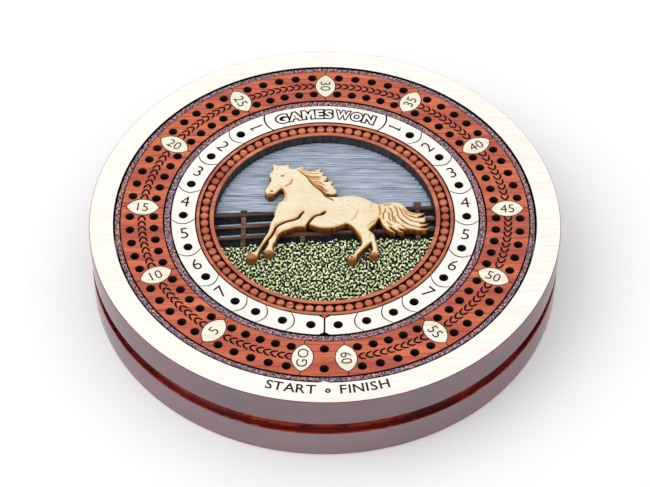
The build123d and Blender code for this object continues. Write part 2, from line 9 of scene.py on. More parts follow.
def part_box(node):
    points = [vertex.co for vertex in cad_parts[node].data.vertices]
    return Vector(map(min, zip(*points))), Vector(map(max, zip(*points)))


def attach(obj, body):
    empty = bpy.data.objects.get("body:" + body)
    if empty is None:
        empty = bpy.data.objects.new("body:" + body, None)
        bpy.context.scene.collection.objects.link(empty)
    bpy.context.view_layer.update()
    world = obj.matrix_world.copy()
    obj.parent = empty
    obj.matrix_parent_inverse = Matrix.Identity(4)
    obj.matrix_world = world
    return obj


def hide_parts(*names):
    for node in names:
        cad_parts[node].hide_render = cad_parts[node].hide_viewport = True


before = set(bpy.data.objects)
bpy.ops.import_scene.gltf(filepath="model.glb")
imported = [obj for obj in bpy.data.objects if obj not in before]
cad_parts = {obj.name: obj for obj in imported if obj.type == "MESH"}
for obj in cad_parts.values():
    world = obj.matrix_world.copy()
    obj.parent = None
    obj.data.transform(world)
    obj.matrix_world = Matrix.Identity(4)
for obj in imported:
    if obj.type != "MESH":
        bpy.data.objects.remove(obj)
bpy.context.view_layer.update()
mm = 0.001
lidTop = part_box("maple_rim")[1].z
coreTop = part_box("lid_core")[1].z
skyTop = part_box("sky_panel")[1].z
goAngle = 270 - 6.54  # the GO marker, counted like every angle here from +X towards +Y
groupAngle = 28.91
groups = 12


def outerRadius(node):
    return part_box(node)[1].x


def innerRadius(node):  # nearest vertex to the board's axis
    return min(math.hypot(v.co.x, v.co.y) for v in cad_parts[node].data.vertices)


def polar(radius, angle):
    return radius * math.cos(math.radians(angle)), radius * math.sin(math.radians(angle))


trackInner, trackOuter = innerRadius("inner_channel") + 3.8 * mm, outerRadius("outer_channel") - 3.0 * mm
trackMiddle = (trackInner + trackOuter) / 2
gamesOuter = innerRadius("inner_channel") - 0.9 * mm
gamesInner = innerRadius("games_plaque")
gamesMiddle = (gamesInner + gamesOuter) / 2
wellRadius = innerRadius("bead_ring")


# ---- mesh helpers

def deselectAll():
    if bpy.context.object and bpy.context.object.mode != "OBJECT":
        bpy.ops.object.mode_set(mode="OBJECT")
    bpy.ops.object.select_all(action="DESELECT")


def useOnly(piece):
    deselectAll()
    piece.select_set(True)
    bpy.context.view_layer.objects.active = piece


def joinPieces(pieces, name):
    deselectAll()
    for piece in pieces:
        piece.select_set(True)
    bpy.context.view_layer.objects.active = pieces[0]
    if len(pieces) > 1:
        bpy.ops.object.join()
    pieces[0].name = name
    return pieces[0]


def applyAll(piece):
    useOnly(piece)
    for modifier in list(piece.modifiers):
        bpy.ops.object.modifier_apply(modifier=modifier.name)


def cadCopy(node, name):  # loose triangles merged into a solid with flat faces
    piece = bpy.data.objects.new(name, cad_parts[node].data.copy())
    bpy.context.collection.objects.link(piece)
    piece.data.materials.clear()
    useOnly(piece)
    bpy.ops.object.mode_set(mode="EDIT")
    bpy.ops.mesh.select_all(action="SELECT")
    bpy.ops.mesh.remove_doubles(threshold=1e-6)
    bpy.ops.mesh.customdata_custom_splitnormals_clear()
    bpy.ops.mesh.dissolve_limited(angle_limit=math.radians(0.3))
    bpy.ops.object.mode_set(mode="OBJECT")
    return piece


def outlineSolid(outlines, low, high, name):  # closed outlines in metres, made a prism from low to high
    curve = bpy.data.curves.new(name, "CURVE")
    curve.dimensions = "2D"
    curve.fill_mode = "BOTH"
    curve.extrude = (high - low) / 2
    for outline in outlines:
        spline = curve.splines.new("POLY")
        spline.points.add(len(outline) - 1)
        for point, (x, y) in zip(spline.points, outline):
            point.co = (x, y, 0, 1)
        spline.use_cyclic_u = True
    piece = bpy.data.objects.new(name, curve)
    bpy.context.collection.objects.link(piece)
    piece.location.z = (low + high) / 2
    return curveToMesh(piece)


def curveToMesh(piece):
    useOnly(piece)
    bpy.ops.object.convert(target="MESH")
    bpy.ops.object.transform_apply(location=True, rotation=True, scale=True)
    bpy.ops.object.mode_set(mode="EDIT")
    bpy.ops.mesh.select_all(action="SELECT")
    bpy.ops.mesh.remove_doubles(threshold=1e-6)
    bpy.ops.mesh.normals_make_consistent(inside=False)
    bpy.ops.object.mode_set(mode="OBJECT")
    volume = 0
    piece.data.calc_loop_triangles()
    for triangle in piece.data.loop_triangles:
        first, second, third = (piece.data.vertices[i].co for i in triangle.vertices)
        volume += first.dot(second.cross(third))
    if volume < 0:
        piece.data.flip_normals()
    return piece


def cut(piece, cutter, operation="DIFFERENCE", overlapping=False):
    useOnly(piece)
    modifier = piece.modifiers.new("cut", "BOOLEAN")
    modifier.operation = operation
    modifier.solver = "EXACT"
    modifier.material_mode = "TRANSFER"
    modifier.use_self = overlapping  # letters may cross their own outline
    modifier.object = cutter
    bpy.ops.object.modifier_apply(modifier=modifier.name)
    bpy.data.objects.remove(cutter)
    return piece


def turned(profile, steps, name):  # (radius, height) corners of a closed profile, spun round the board's axis
    bpy.ops.mesh.primitive_circle_add(vertices=len(profile), radius=1)
    piece = bpy.context.object
    piece.name = name
    for vertex, (radius, height) in zip(piece.data.vertices, profile):
        vertex.co = (radius, 0, height)
    screw = piece.modifiers.new("spin", "SCREW")
    screw.steps = screw.render_steps = steps
    screw.use_merge_vertices = True
    screw.merge_threshold = 1e-6
    applyAll(piece)
    bpy.ops.object.mode_set(mode="EDIT")
    bpy.ops.mesh.select_all(action="SELECT")
    bpy.ops.mesh.normals_make_consistent(inside=False)
    bpy.ops.object.mode_set(mode="OBJECT")
    return piece


def setMaterials(piece, *materials):
    piece.data.materials.clear()
    for material in materials:
        piece.data.materials.append(material)


def burnSides(piece):  # everything but the flat top takes the second material
    for face in piece.data.polygons:
        if face.normal.z < 0.9:
            face.material_index = 1


def smooth(piece, angle=35):
    useOnly(piece)
    bpy.ops.object.shade_smooth_by_angle(angle=math.radians(angle))


def place(piece, body, slot, *nodes):
    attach(piece, body)
    if nodes:
        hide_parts(*nodes)


# ---- materials

class Nodes:  # the nodes of one material, with short ways to add and join them
    def __init__(self, name, roughness, specular=0.5):
        self.material = bpy.data.materials.new(name)
        self.material.use_nodes = True
        self.tree = self.material.node_tree
        self.shader = self.tree.nodes["Principled BSDF"]
        self.shader.inputs["Roughness"].default_value = roughness
        self.shader.inputs["Specular IOR Level"].default_value = specular
        self.place = self.add("ShaderNodeTexCoord").outputs["Object"]

    def add(self, kind, **values):
        node = self.tree.nodes.new(kind)
        for name, value in values.items():
            setattr(node, name, value)
        return node

    def join(self, output, node, socket):
        self.tree.links.new(output, node.inputs[socket])

    def scaled(self, scale, source=None, turn=0):
        node = self.add("ShaderNodeMapping")
        node.inputs["Scale"].default_value = scale
        node.inputs["Rotation"].default_value = (0, 0, math.radians(turn))
        self.join(source or self.place, node, "Vector")
        return node.outputs["Vector"]

    def noise(self, vector, scale, detail=3, distortion=0):
        node = self.add("ShaderNodeTexNoise")
        node.inputs["Scale"].default_value = scale
        node.inputs["Detail"].default_value = detail
        node.inputs["Distortion"].default_value = distortion
        self.join(vector, node, "Vector")
        return node.outputs["Fac"]

    def ramp(self, value, *stops):
        node = self.add("ShaderNodeValToRGB")
        while len(node.color_ramp.elements) < len(stops):
            node.color_ramp.elements.new(0.5)
        for element, (position, colour) in zip(node.color_ramp.elements, stops):
            element.position = position
            element.color = (*colour, 1)
        self.join(value, node, "Fac")
        return node.outputs["Color"]

    def mix(self, factor, first, second, how="MIX"):
        node = self.add("ShaderNodeMix", data_type="RGBA", blend_type=how)
        for socket, value in ((0, factor), (6, first), (7, second)):
            if isinstance(value, (float, int)):
                node.inputs[socket].default_value = value
            elif isinstance(value, tuple):
                node.inputs[socket].default_value = (*value, 1)
            else:
                self.tree.links.new(value, node.inputs[socket])
        return node.outputs[2]

    def bump(self, height, strength, distance):
        node = self.add("ShaderNodeBump")
        node.inputs["Strength"].default_value = strength
        node.inputs["Distance"].default_value = distance
        self.join(height, node, "Height")
        self.join(node.outputs["Normal"], self.shader, "Normal")

    def colour(self, output):
        self.join(output, self.shader, "Base Color")
        return self.material


def woodMaterial(name, look):
    n = Nodes(name, look["roughness"], look["specular"])
    along = look.get("grainTurn", 0)
    wide = n.noise(n.scaled((5, 60, 60), turn=along), look["figureScale"], 4, 0.6)
    fine = n.noise(n.scaled((18, 420, 420), turn=along), 2.2, 4)
    base = n.ramp(wide, (0.32, look["dark"]), (0.5, look["middle"]), (0.7, look["light"]))
    pores = n.ramp(fine, (0.36, (0, 0, 0)), (0.5, (1, 1, 1)))
    grained = n.mix(pores, look["pore"], base)
    n.bump(fine, look["bump"], 0.0002)
    if "ior" in look:  # a thick gloss lacquer; the tint colours its reflections, a painted reflection colour
        n.shader.inputs["IOR"].default_value = look["ior"]
        n.shader.inputs["Specular Tint"].default_value = (*look["tint"], 1)
    return n.colour(grained)


bloodwoodLook = {
    "dark": (0.42, 0.085, 0.052), "middle": (0.55, 0.125, 0.062), "light": (0.70, 0.185, 0.080),
    "pore": (0.32, 0.064, 0.050), "figureScale": 1.7, "roughness": 0.5, "specular": 0.18, "bump": 0.25,
}
ringLook = {
    "dark": (0.38, 0.095, 0.055), "middle": (0.56, 0.155, 0.080), "light": (0.74, 0.240, 0.120),
    "pore": (0.36, 0.090, 0.055), "figureScale": 1.7, "roughness": 0.5, "specular": 0.18, "bump": 0.25,
}
mapleLook = {
    "dark": (0.88, 0.84, 0.76), "middle": (0.92, 0.895, 0.83), "light": (0.95, 0.935, 0.885),
    "pore": (0.87, 0.82, 0.74), "figureScale": 1.1, "roughness": 0.45, "specular": 0.3, "bump": 0.1,
}
markerLook = {
    "dark": (0.80, 0.74, 0.60), "middle": (0.87, 0.82, 0.70), "light": (0.91, 0.87, 0.78),
    "pore": (0.76, 0.68, 0.54), "figureScale": 1.3, "roughness": 0.5, "specular": 0.25, "bump": 0.15,
}
# dark red under gloss; the blue-grey reflection tint is a painted reflection colour
sideLook = {
    "dark": (0.050, 0.003, 0.004), "middle": (0.085, 0.006, 0.008), "light": (0.13, 0.010, 0.010),
    "pore": (0.035, 0.002, 0.003), "figureScale": 1.2, "roughness": 0.1, "specular": 0.5, "bump": 0.03,
    "ior": 2.55, "tint": (0.83, 0.83, 0.92),
}
# a stronger-reflecting copy of the lacquer for the base, so its lower wall looks lit: painted light
baseSideLookBrightened = dict(sideLook, ior=2.95, tint=(0.93, 0.88, 0.96))
# groove wall and ledge: the wood's red, made much lighter than the lacquered sides as painted light caught in
# the groove
grooveLookPaintedLight = {
    "dark": (0.08, 0.005, 0.002), "middle": (0.26, 0.018, 0.005), "light": (0.46, 0.050, 0.010),
    "pore": (0.06, 0.004, 0.002), "figureScale": 1.6, "roughness": 0.25, "specular": 0.14, "bump": 0.1,
}
# a lighter red for the rounded edges of the sides: a painted reflection along the arrises
arrisReflectionLook = {
    "dark": (0.16, 0.010, 0.022), "middle": (0.24, 0.015, 0.032), "light": (0.33, 0.022, 0.040),
    "pore": (0.12, 0.008, 0.015), "figureScale": 1.6, "roughness": 0.5, "specular": 0.1, "bump": 0.05,
}
fenceLook = {
    "dark": (0.060, 0.032, 0.022), "middle": (0.15, 0.080, 0.056), "light": (0.26, 0.14, 0.10),
    "pore": (0.035, 0.016, 0.011), "figureScale": 3.0, "roughness": 0.65, "specular": 0.12, "bump": 0.5,
}
# pale blue-grey for the rails' lit upper edges: a painted highlight
railHighlightLook = {
    "dark": (0.13, 0.16, 0.21), "middle": (0.26, 0.31, 0.39), "light": (0.42, 0.48, 0.57),
    "pore": (0.08, 0.09, 0.12), "figureScale": 3.0, "roughness": 0.6, "specular": 0.3, "bump": 0.5,
}
bloodwood = woodMaterial("bloodwood", bloodwoodLook)
ringWood = woodMaterial("beadRingWood", ringLook)
maple = woodMaterial("maple", mapleLook)
markerMaple = woodMaterial("markerMaple", markerLook)
lacquered = woodMaterial("lacqueredBloodwood", sideLook)
lacqueredBaseBrightened = woodMaterial("lacqueredBaseBrightened", baseSideLookBrightened)
grooveWoodPaintedLight = woodMaterial("grooveWoodPaintedLight", grooveLookPaintedLight)
redArrisPaintedReflection = woodMaterial("redArrisPaintedReflection", arrisReflectionLook)
fenceWood = woodMaterial("fenceWood", fenceLook)
railHighlightMaterial = woodMaterial("paintedRailHighlight", railHighlightLook)


def burntMaterial(name, dark, light, scale):
    n = Nodes(name, 0.7, 0.08)
    char = n.noise(n.scaled((1, 1, 0.25)), scale, 3)
    n.bump(char, 0.4, 0.0001)
    return n.colour(n.ramp(char, (0.35, dark), (0.65, light)))


burnt = burntMaterial("burntEdge", (0.006, 0.004, 0.004), (0.022, 0.012, 0.009), 900)
burntLine = burntMaterial("burntLine", (0.028, 0.008, 0.004), (0.075, 0.024, 0.010), 1400)
blackened = burntMaterial("blackenedWood", (0.003, 0.0035, 0.005), (0.014, 0.015, 0.020), 700)
wellWall = burntMaterial("wellWall", (0.026, 0.026, 0.030), (0.060, 0.060, 0.066), 500)
beadFace = burntMaterial("beadFace", (0.40, 0.095, 0.060), (0.58, 0.160, 0.090), 500)


def stippleMaterial():
    n = Nodes("stippledChannel", 0.6, 0.2)
    lift = n.add("ShaderNodeAttribute", attribute_name="lift").outputs["Fac"]
    worn = n.noise(n.place, 130, 2)
    middle = n.ramp(worn, (0.35, (0.17, 0.12, 0.18)), (0.65, (0.30, 0.12, 0.11)))
    tips = n.ramp(worn, (0.35, (0.46, 0.38, 0.46)), (0.65, (0.66, 0.40, 0.38)))
    lower = n.mix(n.ramp(lift, (0.36, (0, 0, 0)), (0.45, (1, 1, 1))), (0.014, 0.008, 0.014), middle)
    return n.colour(n.mix(n.ramp(lift, (0.55, (0, 0, 0)), (0.66, (1, 1, 1))), lower, tips))


def skyMaterial():
    n = Nodes("skyStain", 0.6, 0.3)
    lift = n.add("ShaderNodeAttribute", attribute_name="lift").outputs["Fac"]
    drift = n.noise(n.scaled((3, 20, 1)), 2.2, 3)
    combed = n.noise(n.scaled((45, 1500, 1)), 1.6, 3)
    tone = n.ramp(n.mix(0.4, combed, lift), (0.37, (0.045, 0.060, 0.09)), (0.47, (0.27, 0.32, 0.40)),
                  (0.59, (0.57, 0.63, 0.74)))
    n.bump(combed, 0.3, 0.0002)
    haze = n.ramp(drift, (0.35, (0, 0, 0)), (0.65, (0.4, 0.4, 0.4)))
    return n.colour(n.mix(haze, tone, (0.30, 0.34, 0.42)))


def grassMaterial():
    n = Nodes("grassStainWithPaintedLight", 0.7, 0.15)
    lift = n.add("ShaderNodeAttribute", attribute_name="lift").outputs["Fac"]
    patch = n.noise(n.place, 620, 2)
    # tip colours climb to a near-white yellow: the green stain plus a painted highlight on the raised blades
    tips = n.ramp(patch, (0.38, (0.42, 0.54, 0.18)), (0.5, (0.74, 0.92, 0.34)), (0.62, (1.0, 1.0, 0.76)))
    # low points near black: partly the dark ground of the grass, partly painted shade between the blades
    rootsInShade = n.ramp(lift, (0.36, (0.003, 0.003, 0.004)), (0.48, (0.014, 0.011, 0.016)),
                   (0.54, (0.15, 0.115, 0.14)))
    shade = n.ramp(lift, (0.545, (0.0, 0.0, 0.0)), (0.575, (1, 1, 1)))
    return n.colour(n.mix(shade, rootsInShade, tips))


def horseMaterial():
    n = Nodes("horseWood", 0.5)
    burn = n.add("ShaderNodeAttribute", attribute_name="burn").outputs["Fac"]
    wide = n.noise(n.scaled((9, 26, 26)), 1.4, 3, 0.8)
    fine = n.noise(n.scaled((90, 420, 420)), 3, 4)
    wood = n.ramp(wide, (0.3, (0.80, 0.67, 0.42)), (0.5, (0.85, 0.745, 0.53)), (0.7, (0.89, 0.80, 0.60)))
    grained = n.mix(n.ramp(fine, (0.36, (0, 0, 0)), (0.46, (1, 1, 1))), (0.74, 0.59, 0.36), wood)
    toast = n.ramp(burn, (0.0, (1, 1, 1)), (0.3, (0.84, 0.54, 0.22)), (0.5, (0.50, 0.20, 0.040)),
                   (0.7, (0.20, 0.066, 0.016)), (1.0, (0.016, 0.006, 0.003)))
    n.bump(fine, 0.3, 0.0002)
    return n.colour(n.mix(1.0, grained, toast, "MULTIPLY"))


def metalMaterial(name, colour, roughness, scratches=0.15):
    n = Nodes(name, roughness)
    n.shader.inputs["Metallic"].default_value = 1
    worn = n.noise(n.scaled((30, 900, 900)), 2, 3)
    n.bump(worn, scratches, 0.0001)
    share = n.ramp(worn, (0.3, (0, 0, 0)), (0.7, (1, 1, 1)))
    return n.colour(n.mix(share, tuple(c * 0.8 for c in colour), colour))


def plainMaterial(name, colour, roughness, scale=300):
    n = Nodes(name, roughness)
    uneven = n.noise(n.place, scale, 3)
    n.bump(uneven, 0.15, 0.0001)
    return n.colour(n.ramp(uneven, (0.3, tuple(c * 0.85 for c in colour)), (0.7, colour)))


stipple, sky, grass, horseWood = stippleMaterial(), skyMaterial(), grassMaterial(), horseMaterial()
brass = metalMaterial("pegBrass", (0.80, 0.58, 0.24), 0.22)
steel = metalMaterial("pegSteel", (0.66, 0.66, 0.68), 0.2)
zinc = metalMaterial("boltZinc", (0.50, 0.50, 0.53), 0.35)
bronze = metalMaterial("bushBronze", (0.55, 0.36, 0.17), 0.4)
nickel = metalMaterial("magnetNickel", (0.72, 0.72, 0.74), 0.15)
nylon = plainMaterial("washerNylon", (0.85, 0.83, 0.78), 0.5)
print("materials made")


# ---- lettering: generic numerals and words, burnt into the wood

def letterShape(text, size, middle, turn, heavier=0.0, stretch=1.0):  # centred on a point, turned by an angle
    bpy.ops.object.text_add(location=(0, 0, 0))
    piece = bpy.context.object
    piece.data.body = text
    piece.data.size = size
    piece.data.offset = heavier
    piece.data.resolution_u = 3
    piece.data.align_x = "CENTER"
    piece.data.extrude = 0.5 * mm
    bpy.context.view_layer.update()
    corners = [Vector(c) for c in piece.bound_box]
    raised = (max(c.y for c in corners) + min(c.y for c in corners)) / 2
    aside = stretch * (max(c.x for c in corners) + min(c.x for c in corners)) / 2
    angle = math.radians(turn)
    x = middle[0] - aside * math.cos(angle) + raised * math.sin(angle)
    y = middle[1] - aside * math.sin(angle) - raised * math.cos(angle)
    piece.location = (x, y, lidTop)
    piece.rotation_euler = (0, 0, angle)
    piece.scale.x = stretch
    return piece


def sunk(pieces, depth):  # text as cutters whose lower face is at the wanted depth
    meshes = []
    for piece in pieces:
        piece.location.z += 0.5 * mm - depth
        meshes.append(curveToMesh(piece))
    return meshes


def letterWidth(letter, size):
    piece = letterShape(letter, size, (0, 0), 0)
    width = piece.dimensions.x
    bpy.data.objects.remove(piece)
    return width


def curvedWord(word, size, radius, middleAngle, gap, outwards, heavier=0.0, stretch=1.0, narrow=()):
    stretches = [stretch * dict(narrow).get(letter, 1) for letter in word]
    widths = [letterWidth(letter, size) * own if letter != " " else 0 for letter, own in zip(word, stretches)]
    total = sum(widths) + gap * (len(word) - 1)
    letters = []
    reach = -total / 2
    for letter, width, own in zip(word, widths, stretches):
        along = math.degrees((reach + width / 2) / radius)
        angle = middleAngle + (along if outwards else -along)
        turn = angle + 90 if outwards else angle - 90
        if letter != " ":
            letters.append(letterShape(letter, size, polar(radius, angle), turn, heavier, own))
        reach += width + gap
    return letters


# ---- rim

rimLook = {"wordRadius": 118.6, "wordSize": 7.9, "startGap": 0.6, "finishGap": 1.35, "depth": 0.3,
           "heavier": 0.13, "stretch": 1.08, "startAngle": 261.75, "finishAngle": 280.0,
           "dotAngle": 270.9, "dotRadius": 119.3, "dotOuter": 1.5, "dotInner": 0.5}


def makeRim():
    rim = cadCopy("maple_rim", "mapleRim")
    radius = rimLook["wordRadius"] * mm
    letters = []
    for word, angle, gap in (("START", rimLook["startAngle"], rimLook["startGap"]),
                             ("FINISH", rimLook["finishAngle"], rimLook["finishGap"])):
        letters += curvedWord(word, rimLook["wordSize"] * mm, radius, angle, gap * mm, True,
                              rimLook["heavier"] * mm, rimLook["stretch"])
    cutters = sunk(letters, rimLook["depth"] * mm)
    dotX, dotY = polar(rimLook["dotRadius"] * mm, rimLook["dotAngle"])
    rings = []
    for size in (rimLook["dotOuter"] * mm, rimLook["dotInner"] * mm):
        rings.append([(dotX + x, dotY + y) for x, y in (polar(size, 15 * i) for i in range(24))])
    cutters.append(outlineSolid(rings, lidTop - rimLook["depth"] * mm, lidTop + 0.5 * mm, "dotCutter"))
    cutter = joinPieces(cutters, "rimCutter")
    setMaterials(cutter, burntLine)
    setMaterials(rim, maple, burnt)
    burnSides(rim)
    cut(rim, cutter, overlapping=True)
    smooth(rim, 30)
    place(rim, "lid", "maple", "maple_rim")
    print("rim done")


# ---- track: chevrons and burnt edges

charRing = {"radius": 2.5, "depth": 0.4, "first": 4.1, "pitch": 5.18, "lane": 6.45}  # burnt spot round a hole
chevronLook = {
    "count": 10, "pitchAngle": 2.21, "firstAngle": 4.55, "depth": 0.35,
    "outer": ((-2.4, 2.35), (-0.1, 2.2), (1.2, 1.1), (1.75, 0.0), (1.2, -1.1), (-0.1, -2.2), (-2.4, -2.35)),
    "inner": ((-2.4, -1.5), (-0.8, -1.15), (0.1, -0.5), (0.55, 0.0), (0.1, 0.5), (-0.8, 1.15), (-2.4, 1.5)),
}


def charOutline(radius, angle):
    x, y = polar(radius, angle)
    return [(x + a, y + b) for a, b in (polar(charRing["radius"] * mm, 12 * i) for i in range(30))]


def chevronOutline(angle):  # the point looks clockwise, the way play goes
    outline = []
    for along, across in chevronLook["outer"] + chevronLook["inner"]:
        outline.append(polar(trackMiddle + across * mm, angle - math.degrees(along * mm / trackMiddle)))
    return outline


def makeTrack():
    for index in range(groups):
        node = "track_segment_" + str(index + 1).zfill(2)
        segment = cadCopy(node, "trackSegment" + str(index + 1))
        start = goAngle - groupAngle * index - chevronLook["firstAngle"]
        outlines = [chevronOutline(start - chevronLook["pitchAngle"] * step)
                    for step in range(chevronLook["count"])]
        for lane in (-1, 1):
            for hole in range(5):
                angle = goAngle - groupAngle * index - charRing["first"] - charRing["pitch"] * hole
                outlines.append(charOutline(trackMiddle + lane * charRing["lane"] * mm, angle))
        low = lidTop - chevronLook["depth"] * mm
        cutter = outlineSolid(outlines, low, lidTop + 0.5 * mm, "chevronCutter")
        setMaterials(cutter, burnt)
        setMaterials(segment, bloodwood, burnt)
        burnSides(segment)
        cut(segment, cutter)
        place(segment, "lid", "bloodwood", node)
    finish = cadCopy("finish_segment", "finishSegment")
    setMaterials(finish, bloodwood, burnt)
    burnSides(finish)
    rings = [charOutline(trackMiddle + lane * charRing["lane"] * mm, 270) for lane in (-1, 1)]
    cutter = outlineSolid(rings, lidTop - charRing["depth"] * mm, lidTop + 0.5 * mm, "charCutter")
    setMaterials(cutter, burnt)
    cut(finish, cutter)
    place(finish, "lid", "bloodwood", "finish_segment")
    print("track done")


# ---- markers

markerNumerals = {"size": 8.2, "depth": 0.25, "labels": ["GO"] + [str(5 * (i + 1)) for i in range(groups)]}


def makeMarkers():
    for index, label in enumerate(markerNumerals["labels"]):
        node = "marker_" + (label.lower() if index == 0 else label.zfill(2))
        angle = goAngle - groupAngle * index
        marker = cadCopy(node, "marker" + label.capitalize())
        inwards = index <= groups / 2  # the first half is read from the outside, the rest from the middle
        turn = angle + 180 if inwards else angle
        setMaterials(marker, markerMaple, burnt)
        burnSides(marker)
        letters = [letterShape(label, markerNumerals["size"] * mm, polar(trackMiddle, angle), turn)]
        cutter = joinPieces(sunk(letters, markerNumerals["depth"] * mm), "numeralCutter")
        setMaterials(cutter, burntLine)
        cut(marker, cutter, overlapping=True)
        place(marker, "lid", "marker_maple", node)
    print("markers done")


# ---- games ring

gamesLook = {"numeralSize": 10.9, "depth": 0.25, "lineWidth": 0.68, "firstAngle": 37.7, "pitch": 17.4,
             "count": 7, "numeralLead": 7.6, "arcEnd": 2.3, "arcTop": 4.7, "firstHole": 5.3,
             "startHoles": (16.6, 28.0), "serif": (3.0, 0.62)}
plaqueLook = {"size": 8.2, "gap": 1.45, "stretch": 1.14, "letterWeight": 0.28, "shadowWeight": 1.15,
              "depth": 0.6, "narrow": (("W", 0.70), ("O", 0.84), ("N", 0.94))}


def arcLine(side, holeAngle):  # thin line that bulges towards the bottom, round the lower side of a hole
    ends = holeAngle - gamesLook["arcEnd"]
    top = holeAngle - gamesLook["arcTop"]
    half = gamesLook["lineWidth"] * mm / 2
    upper, lower = [], []
    for step in range(13):
        across = step / 12 * 2 - 1
        radius = gamesMiddle + across * ((gamesOuter - gamesInner) / 2 - 0.1 * mm)
        angle = top + (ends - top) * across * across
        shift = math.degrees(half / radius)
        upper.append(polar(radius, -90 + side * (angle + shift)))
        lower.append(polar(radius, -90 + side * (angle - shift)))
    return upper + lower[::-1]


def footOfOne(where, turn):  # the bar under the figure 1
    middle = Vector(polar(gamesMiddle, where))
    across, upwards = Vector(polar(1, turn)), Vector(polar(1, turn + 90))
    wide, thick = (value * mm / 2 for value in gamesLook["serif"])
    foot = middle - upwards * 2.85 * mm + across * 0.5 * mm
    return [tuple(foot + across * a + upwards * b)
            for a, b in ((-wide, -thick), (wide, -thick), (wide, thick), (-wide, thick))]


def makeGames():
    for side, node, name in ((-1, "games_arc_left", "gamesArcLeft"), (1, "games_arc_right", "gamesArcRight")):
        arc = cadCopy(node, name)
        holes = [gamesLook["firstAngle"] + gamesLook["pitch"] * step for step in range(gamesLook["count"])]
        lines = [arcLine(side, angle) for angle in list(gamesLook["startHoles"]) + holes]
        depth = gamesLook["depth"] * mm
        rings = [charOutline(gamesMiddle, -90 + side * angle)
                 for angle in [gamesLook["firstHole"]] + list(gamesLook["startHoles"]) + holes]
        charred = outlineSolid(rings, lidTop - charRing["depth"] * mm, lidTop + 0.5 * mm, "charCutter")
        setMaterials(charred, burnt)
        cutters = [outlineSolid(lines, lidTop - depth, lidTop + 0.5 * mm, "lineCutter")]
        letters = []
        for step, angle in enumerate(holes):
            lead = angle + gamesLook["numeralLead"]
            where = -90 + side * lead
            turn = where + 90 * side - 90
            letters.append(letterShape(str(gamesLook["count"] - step), gamesLook["numeralSize"] * mm,
                                       polar(gamesMiddle, where), turn))
        foot = [footOfOne(where, turn)]
        cutters.append(outlineSolid(foot, lidTop - depth, lidTop + 0.5 * mm, "footCutter"))
        cutter = joinPieces(cutters + sunk(letters, depth), "gamesCutter")
        setMaterials(cutter, burntLine)
        setMaterials(arc, maple, burnt)
        burnSides(arc)
        cut(arc, charred)
        cut(arc, cutter, overlapping=True)
        place(arc, "lid", "maple", node)
    print("games ring done")


def plaqueWord(weight):
    return curvedWord("GAMES WON", plaqueLook["size"] * mm, gamesMiddle, 90, plaqueLook["gap"] * mm, False,
                      weight * mm, plaqueLook["stretch"], plaqueLook["narrow"])


# corners of a bold M, as shares of its width and height, because the font's own M folds over when thickened
boldM = ((-0.5, -0.5), (-0.5, 0.5), (-0.24, 0.5), (0.0, -0.02), (0.24, 0.5), (0.5, 0.5), (0.5, -0.5),
         (0.27, -0.5), (0.27, 0.1), (0.09, -0.32), (-0.09, -0.32), (-0.27, 0.1), (-0.27, -0.5))


def plainM(letter):  # the same place and size as the given letter
    corners = [letter.matrix_world @ Vector(c) for c in letter.bound_box]
    middle = sum(corners, Vector()) / 8
    wide, tall = letter.dimensions.x, letter.dimensions.y
    turn = letter.rotation_euler.z
    outline = []
    for across, up in boldM:
        offset = Vector((across * wide, up * tall)).to_3d()
        offset.rotate(Euler((0, 0, turn)))
        outline.append((middle.x + offset.x, middle.y + offset.y))
    bpy.data.objects.remove(letter)
    return outlineSolid([outline], lidTop - plaqueLook["depth"] * mm, lidTop, "letterM")


def makePlaque():  # raised letters, each in a burnt pocket that follows its outline
    plaque = cadCopy("games_plaque", "gamesPlaque")
    setMaterials(plaque, maple, burnt)
    burnSides(plaque)
    depth = plaqueLook["depth"] * mm
    pocket = joinPieces(sunk(plaqueWord(plaqueLook["shadowWeight"]), depth), "pocketCutter")
    setMaterials(pocket, burnt)
    cut(plaque, pocket, overlapping=True)
    place(plaque, "lid", "maple", "games_plaque")
    letters = plaqueWord(plaqueLook["letterWeight"])
    bpy.context.view_layer.update()
    ownM = plainM(letters.pop(2))
    word = joinPieces(sunk(letters, depth) + [ownM], "plaqueLetters")
    for vertex in word.data.vertices:  # level with the plaque's face
        vertex.co.z = min(vertex.co.z, lidTop)
    setMaterials(word, maple, burnt)
    burnSides(word)
    place(word, "lid", "maple")
    print("plaque done")


# ---- textured rings and panels

def liftTop(piece, heightAt):  # moves the top vertices and keeps the shape as an attribute
    data = piece.data
    count = len(data.vertices)
    points = np.zeros(count * 3)
    data.vertices.foreach_get("co", points)
    points = points.reshape(-1, 3)
    top = points[:, 2].max()
    lifts = np.zeros(count)
    for i, (x, y, z) in enumerate(points):
        if z > top - 0.01 * mm:
            lifts[i], rise = heightAt(x, y)
            points[i, 2] = z + rise
    data.vertices.foreach_set("co", points.ravel())
    attribute = data.attributes.new("lift", "FLOAT", "POINT")
    attribute.data.foreach_set("value", lifts.astype(np.float32))
    data.update()


def stippleHeight(x, y):
    value = noise.noise(Vector((x, y, 0)) / (0.6 * mm)) * 0.55
    value += noise.noise(Vector((x, y, 9 * mm)) / (1.3 * mm)) * 0.3
    return 0.5 + value, value * 0.35 * mm


def makeChannels():
    for node, name in (("outer_channel", "outerChannel"), ("inner_channel", "innerChannel")):
        inner, outer = innerRadius(node), outerRadius(node)
        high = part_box(node)[1].z
        rows = round((outer - inner) / (0.36 * mm))
        profile = [(inner + (outer - inner) * i / rows, high) for i in range(rows + 1)]
        profile += [(outer, coreTop), (inner, coreTop)]
        channel = turned(profile, 1500, name)
        liftTop(channel, stippleHeight)
        setMaterials(channel, stipple)
        smooth(channel, 60)
        place(channel, "lid", "stippled_channel", node)
    print("channels done")


# ---- bead ring

